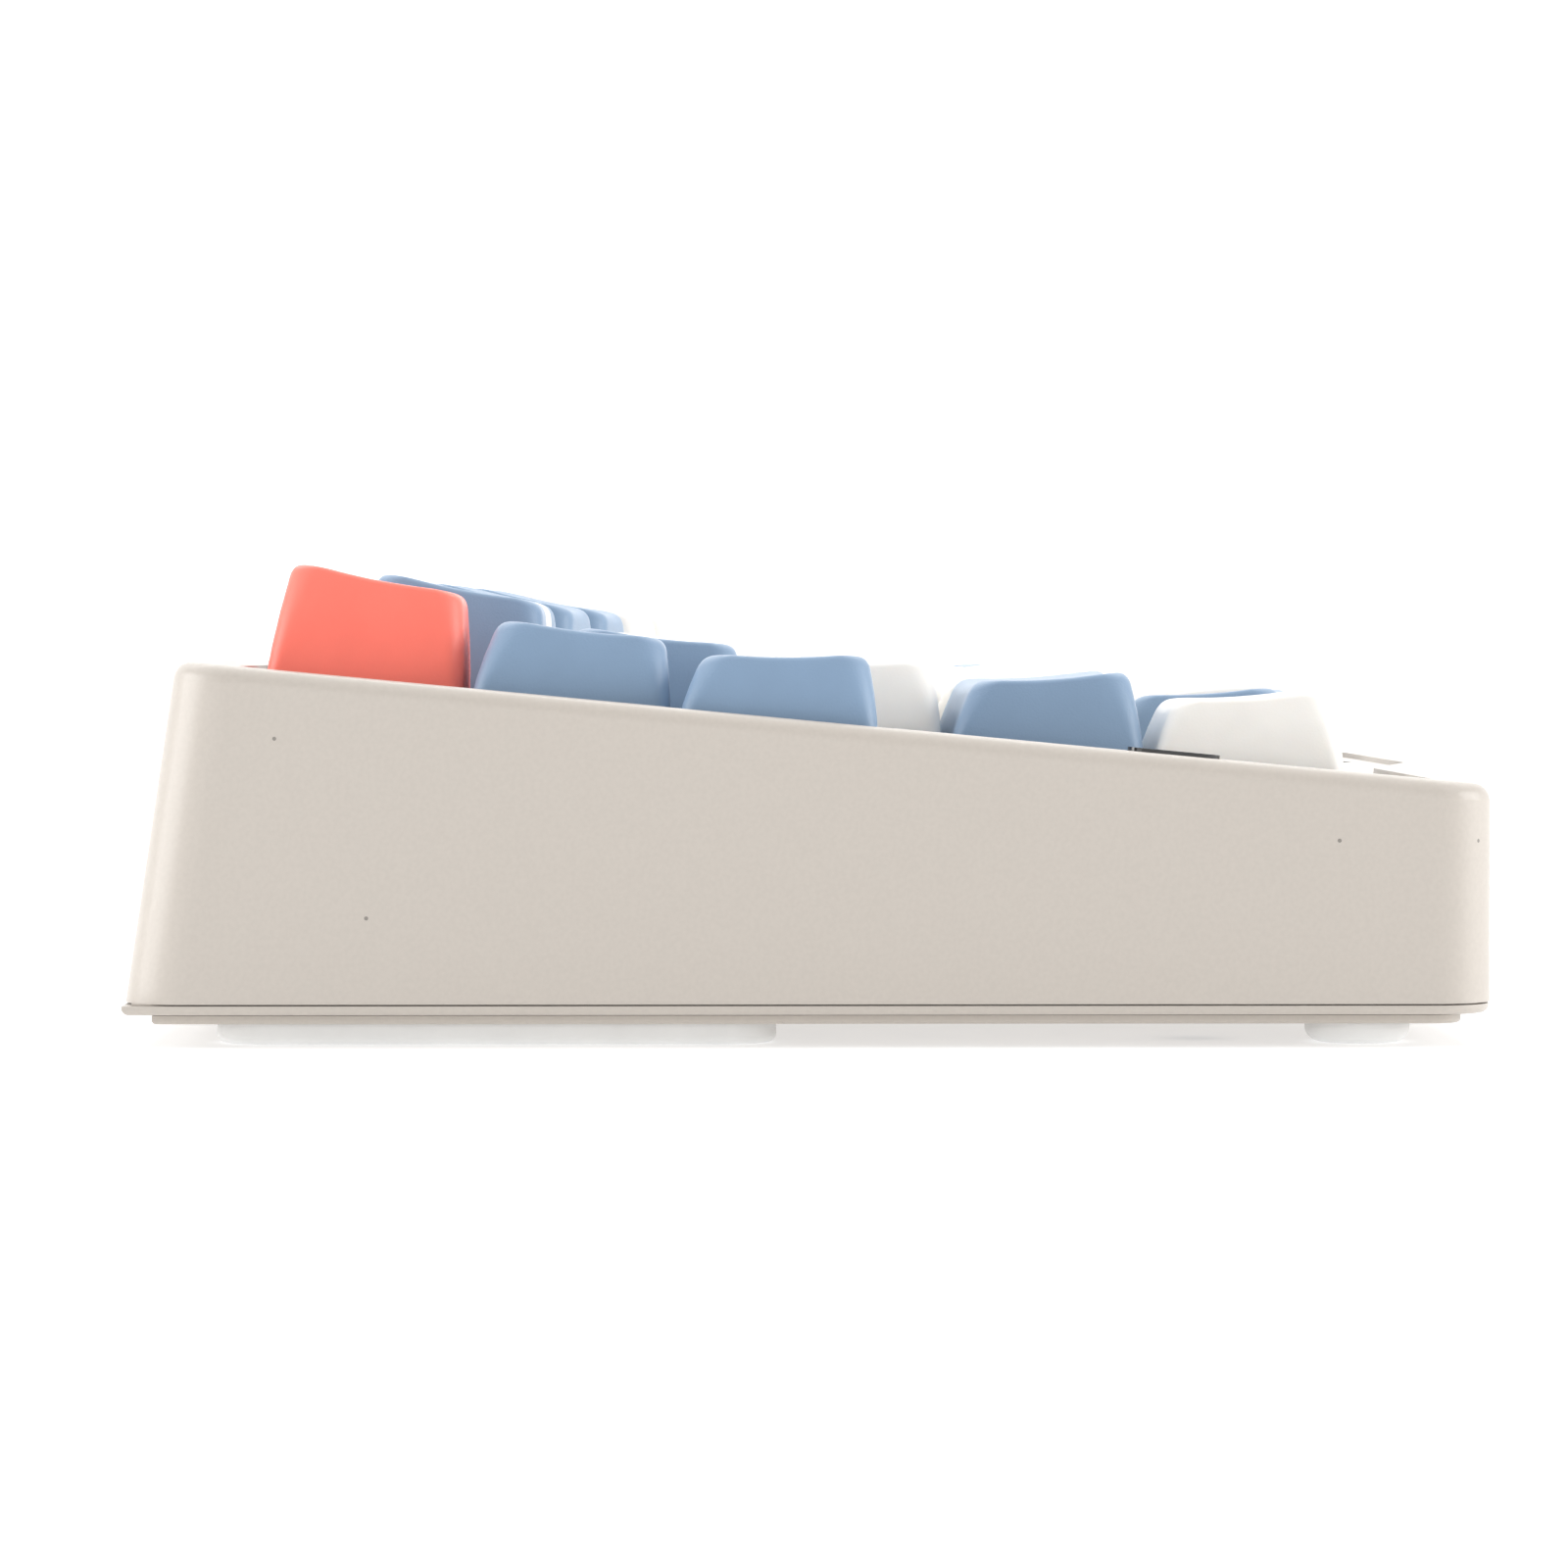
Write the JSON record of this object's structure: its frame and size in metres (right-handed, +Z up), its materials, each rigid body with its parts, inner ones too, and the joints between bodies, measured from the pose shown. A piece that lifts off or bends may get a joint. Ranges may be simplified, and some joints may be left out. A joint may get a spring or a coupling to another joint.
{
  "type": "mechanical keyboard",
  "caption": "Ergonomic mechanical keyboard with angled key blocks in a wedge-shaped case, its keycaps travelling straight down on sprung stems.",
  "frame": {"origin": "on the desk under the middle of the case", "axes": "+X to the typist's right, +Y to the rear, +Z up"},
  "size_m": [0.371, 0.1396, 0.0441],
  "materials": {
    "case": "fine satin powder coat, warm beige",
    "cover": "fine satin powder coat, warm beige",
    "cap_coral": "fine matte",
    "cap_blue": "fine matte",
    "cap_white": "fine matte",
    "switch": "moulded, satin",
    "spring": "wire",
    "plate": "sheet, matte",
    "board": "circuit board with a dark solder mask",
    "foam": "closed-cell foam",
    "gasket": "silicone",
    "foot": "soft white silicone",
    "screw": "dark plated",
    "window": "smoked, glossy",
    "socket": "stamped shell"
  },
  "bodies": {
    "base": {"base_cover": "cover", "bottom_case": "case", "case_foam": "foam", "case_screws": "screw", "circuit_board": "board", "front_feet": "foot", "gasket_pads": "gasket", "indicator_window": "window", "plate_foam": "foam", "rear_feet": "foot", "stabiliser_housings": "switch", "switch_housings": "switch", "switch_plate": "plate", "switch_springs": "spring", "top_case": "case", "usb_board": "board", "usb_socket": "socket"},
    "key_1": {"key_1": "cap_white"},
    "key_2": {"key_2": "cap_blue"},
    "key_3": {"key_3": "cap_blue"},
    "key_4": {"key_4": "cap_blue"},
    "key_5": {"key_5": "cap_white"},
    "key_6": {"key_6": "cap_white"},
    "key_a": {"key_a": "cap_white"},
    "key_arrow_up": {"key_arrow_up": "cap_blue"},
    "key_b": {"key_b": "cap_white"},
    "key_backquote": {"key_backquote": "cap_blue"},
    "key_backslash": {"key_backslash": "cap_blue"},
    "key_backspace": {"key_backspace": "cap_blue"},
    "key_c": {"key_c": "cap_white"},
    "key_caps_lock": {"key_caps_lock": "cap_white"},
    "key_d": {"key_d": "cap_white"},
    "key_e": {"key_e": "cap_white"},
    "key_enter": {"key_enter": "cap_blue"},
    "key_escape": {"key_escape": "cap_coral"},
    "key_f": {"key_f": "cap_white"},
    "key_function": {"key_function": "cap_blue"},
    "key_g": {"key_g": "cap_white"},
    "key_left_alt": {"key_left_alt": "cap_blue"},
    "key_left_control": {"key_left_control": "cap_white"},
    "key_left_shift": {"key_left_shift": "cap_blue"},
    "key_left_space": {"key_left_space": "cap_white"},
    "key_page_down": {"key_page_down": "cap_blue"},
    "key_page_up": {"key_page_up": "cap_blue"},
    "key_q": {"key_q": "cap_white"},
    "key_r": {"key_r": "cap_white"},
    "key_right_shift": {"key_right_shift": "cap_blue"},
    "key_right_space": {"key_right_space": "cap_white"},
    "key_s": {"key_s": "cap_white"},
    "key_t": {"key_t": "cap_white"},
    "key_tab": {"key_tab": "cap_blue"},
    "key_v": {"key_v": "cap_white"},
    "key_w": {"key_w": "cap_white"},
    "key_x": {"key_x": "cap_white"},
    "key_z": {"key_z": "cap_white"},
    "keys_bottom_right": {"keys_bottom_right": "cap_blue"},
    "keys_home_right": {"keys_home_right": "cap_white"},
    "keys_lower_right": {"keys_lower_right": "cap_white"},
    "keys_number_right": {"keys_number_right": "cap_white"},
    "keys_upper_right": {"keys_upper_right": "cap_white"}
  },
  "joints": [
    {"name": "key_1_press", "type": "slide", "parent": "base", "child": "key_1", "axis": [0, 0.0941, -0.9956], "range_m": [0, 0.004], "stiffness_N_per_m": 70, "springref_m": -0.005},
    {"name": "key_2_press", "type": "slide", "parent": "base", "child": "key_2", "axis": [0, 0.0941, -0.9956], "range_m": [0, 0.004], "stiffness_N_per_m": 70, "springref_m": -0.005},
    {"name": "key_3_press", "type": "slide", "parent": "base", "child": "key_3", "axis": [0, 0.0941, -0.9956], "range_m": [0, 0.004], "stiffness_N_per_m": 70, "springref_m": -0.005},
    {"name": "key_4_press", "type": "slide", "parent": "base", "child": "key_4", "axis": [0, 0.0941, -0.9956], "range_m": [0, 0.004], "stiffness_N_per_m": 70, "springref_m": -0.005},
    {"name": "key_5_press", "type": "slide", "parent": "base", "child": "key_5", "axis": [0, 0.0941, -0.9956], "range_m": [0, 0.004], "stiffness_N_per_m": 70, "springref_m": -0.005},
    {"name": "key_6_press", "type": "slide", "parent": "base", "child": "key_6", "axis": [0, 0.0941, -0.9956], "range_m": [0, 0.004], "stiffness_N_per_m": 70, "springref_m": -0.005},
    {"name": "key_a_press", "type": "slide", "parent": "base", "child": "key_a", "axis": [0, 0.0941, -0.9956], "range_m": [0, 0.004], "stiffness_N_per_m": 70, "springref_m": -0.005},
    {"name": "key_arrow_up_press", "type": "slide", "parent": "base", "child": "key_arrow_up", "axis": [0, 0.0941, -0.9956], "range_m": [0, 0.004], "stiffness_N_per_m": 70, "springref_m": -0.005},
    {"name": "key_b_press", "type": "slide", "parent": "base", "child": "key_b", "axis": [0, 0.0941, -0.9956], "range_m": [0, 0.004], "stiffness_N_per_m": 70, "springref_m": -0.005},
    {"name": "key_backquote_press", "type": "slide", "parent": "base", "child": "key_backquote", "axis": [0, 0.0941, -0.9956], "range_m": [0, 0.004], "stiffness_N_per_m": 70, "springref_m": -0.005},
    {"name": "key_backslash_press", "type": "slide", "parent": "base", "child": "key_backslash", "axis": [0, 0.0941, -0.9956], "range_m": [0, 0.004], "stiffness_N_per_m": 70, "springref_m": -0.005},
    {"name": "key_backspace_press", "type": "slide", "parent": "base", "child": "key_backspace", "axis": [0, 0.0941, -0.9956], "range_m": [0, 0.004], "stiffness_N_per_m": 70, "springref_m": -0.005},
    {"name": "key_c_press", "type": "slide", "parent": "base", "child": "key_c", "axis": [0, 0.0941, -0.9956], "range_m": [0, 0.004], "stiffness_N_per_m": 70, "springref_m": -0.005},
    {"name": "key_caps_lock_press", "type": "slide", "parent": "base", "child": "key_caps_lock", "axis": [0, 0.0941, -0.9956], "range_m": [0, 0.004], "stiffness_N_per_m": 70, "springref_m": -0.005},
    {"name": "key_d_press", "type": "slide", "parent": "base", "child": "key_d", "axis": [0, 0.0941, -0.9956], "range_m": [0, 0.004], "stiffness_N_per_m": 70, "springref_m": -0.005},
    {"name": "key_e_press", "type": "slide", "parent": "base", "child": "key_e", "axis": [0, 0.0941, -0.9956], "range_m": [0, 0.004], "stiffness_N_per_m": 70, "springref_m": -0.005},
    {"name": "key_enter_press", "type": "slide", "parent": "base", "child": "key_enter", "axis": [0, 0.0941, -0.9956], "range_m": [0, 0.004], "stiffness_N_per_m": 70, "springref_m": -0.005},
    {"name": "key_escape_press", "type": "slide", "parent": "base", "child": "key_escape", "axis": [0, 0.0941, -0.9956], "range_m": [0, 0.004], "stiffness_N_per_m": 70, "springref_m": -0.005},
    {"name": "key_f_press", "type": "slide", "parent": "base", "child": "key_f", "axis": [0, 0.0941, -0.9956], "range_m": [0, 0.004], "stiffness_N_per_m": 70, "springref_m": -0.005},
    {"name": "key_function_press", "type": "slide", "parent": "base", "child": "key_function", "axis": [0, 0.0941, -0.9956], "range_m": [0, 0.004], "stiffness_N_per_m": 70, "springref_m": -0.005},
    {"name": "key_g_press", "type": "slide", "parent": "base", "child": "key_g", "axis": [0, 0.0941, -0.9956], "range_m": [0, 0.004], "stiffness_N_per_m": 70, "springref_m": -0.005},
    {"name": "key_left_alt_press", "type": "slide", "parent": "base", "child": "key_left_alt", "axis": [0, 0.0941, -0.9956], "range_m": [0, 0.004], "stiffness_N_per_m": 70, "springref_m": -0.005},
    {"name": "key_left_control_press", "type": "slide", "parent": "base", "child": "key_left_control", "axis": [0, 0.0941, -0.9956], "range_m": [0, 0.004], "stiffness_N_per_m": 70, "springref_m": -0.005},
    {"name": "key_left_shift_press", "type": "slide", "parent": "base", "child": "key_left_shift", "axis": [0, 0.0941, -0.9956], "range_m": [0, 0.004], "stiffness_N_per_m": 70, "springref_m": -0.005},
    {"name": "key_left_space_press", "type": "slide", "parent": "base", "child": "key_left_space", "axis": [0, 0.0941, -0.9956], "range_m": [0, 0.004], "stiffness_N_per_m": 70, "springref_m": -0.005},
    {"name": "key_page_down_press", "type": "slide", "parent": "base", "child": "key_page_down", "axis": [0, 0.0941, -0.9956], "range_m": [0, 0.004], "stiffness_N_per_m": 70, "springref_m": -0.005},
    {"name": "key_page_up_press", "type": "slide", "parent": "base", "child": "key_page_up", "axis": [0, 0.0941, -0.9956], "range_m": [0, 0.004], "stiffness_N_per_m": 70, "springref_m": -0.005},
    {"name": "key_q_press", "type": "slide", "parent": "base", "child": "key_q", "axis": [0, 0.0941, -0.9956], "range_m": [0, 0.004], "stiffness_N_per_m": 70, "springref_m": -0.005},
    {"name": "key_r_press", "type": "slide", "parent": "base", "child": "key_r", "axis": [0, 0.0941, -0.9956], "range_m": [0, 0.004], "stiffness_N_per_m": 70, "springref_m": -0.005},
    {"name": "key_right_shift_press", "type": "slide", "parent": "base", "child": "key_right_shift", "axis": [0, 0.0941, -0.9956], "range_m": [0, 0.004], "stiffness_N_per_m": 70, "springref_m": -0.005},
    {"name": "key_right_space_press", "type": "slide", "parent": "base", "child": "key_right_space", "axis": [0, 0.0941, -0.9956], "range_m": [0, 0.004], "stiffness_N_per_m": 70, "springref_m": -0.005},
    {"name": "key_s_press", "type": "slide", "parent": "base", "child": "key_s", "axis": [0, 0.0941, -0.9956], "range_m": [0, 0.004], "stiffness_N_per_m": 70, "springref_m": -0.005},
    {"name": "key_t_press", "type": "slide", "parent": "base", "child": "key_t", "axis": [0, 0.0941, -0.9956], "range_m": [0, 0.004], "stiffness_N_per_m": 70, "springref_m": -0.005},
    {"name": "key_tab_press", "type": "slide", "parent": "base", "child": "key_tab", "axis": [0, 0.0941, -0.9956], "range_m": [0, 0.004], "stiffness_N_per_m": 70, "springref_m": -0.005},
    {"name": "key_v_press", "type": "slide", "parent": "base", "child": "key_v", "axis": [0, 0.0941, -0.9956], "range_m": [0, 0.004], "stiffness_N_per_m": 70, "springref_m": -0.005},
    {"name": "key_w_press", "type": "slide", "parent": "base", "child": "key_w", "axis": [0, 0.0941, -0.9956], "range_m": [0, 0.004], "stiffness_N_per_m": 70, "springref_m": -0.005},
    {"name": "key_x_press", "type": "slide", "parent": "base", "child": "key_x", "axis": [0, 0.0941, -0.9956], "range_m": [0, 0.004], "stiffness_N_per_m": 70, "springref_m": -0.005},
    {"name": "key_z_press", "type": "slide", "parent": "base", "child": "key_z", "axis": [0, 0.0941, -0.9956], "range_m": [0, 0.004], "stiffness_N_per_m": 70, "springref_m": -0.005},
    {"name": "keys_bottom_right_press", "type": "slide", "parent": "base", "child": "keys_bottom_right", "axis": [0, 0.0941, -0.9956], "range_m": [0, 0.004], "stiffness_N_per_m": 280, "springref_m": -0.005},
    {"name": "keys_home_right_press", "type": "slide", "parent": "base", "child": "keys_home_right", "axis": [0, 0.0941, -0.9956], "range_m": [0, 0.004], "stiffness_N_per_m": 420, "springref_m": -0.005},
    {"name": "keys_lower_right_press", "type": "slide", "parent": "base", "child": "keys_lower_right", "axis": [0, 0.0941, -0.9956], "range_m": [0, 0.004], "stiffness_N_per_m": 350, "springref_m": -0.005},
    {"name": "keys_number_right_press", "type": "slide", "parent": "base", "child": "keys_number_right", "axis": [0, 0.0941, -0.9956], "range_m": [0, 0.004], "stiffness_N_per_m": 420, "springref_m": -0.005},
    {"name": "keys_upper_right_press", "type": "slide", "parent": "base", "child": "keys_upper_right", "axis": [0, 0.0941, -0.9956], "range_m": [0, 0.004], "stiffness_N_per_m": 490, "springref_m": -0.005}
  ]
}
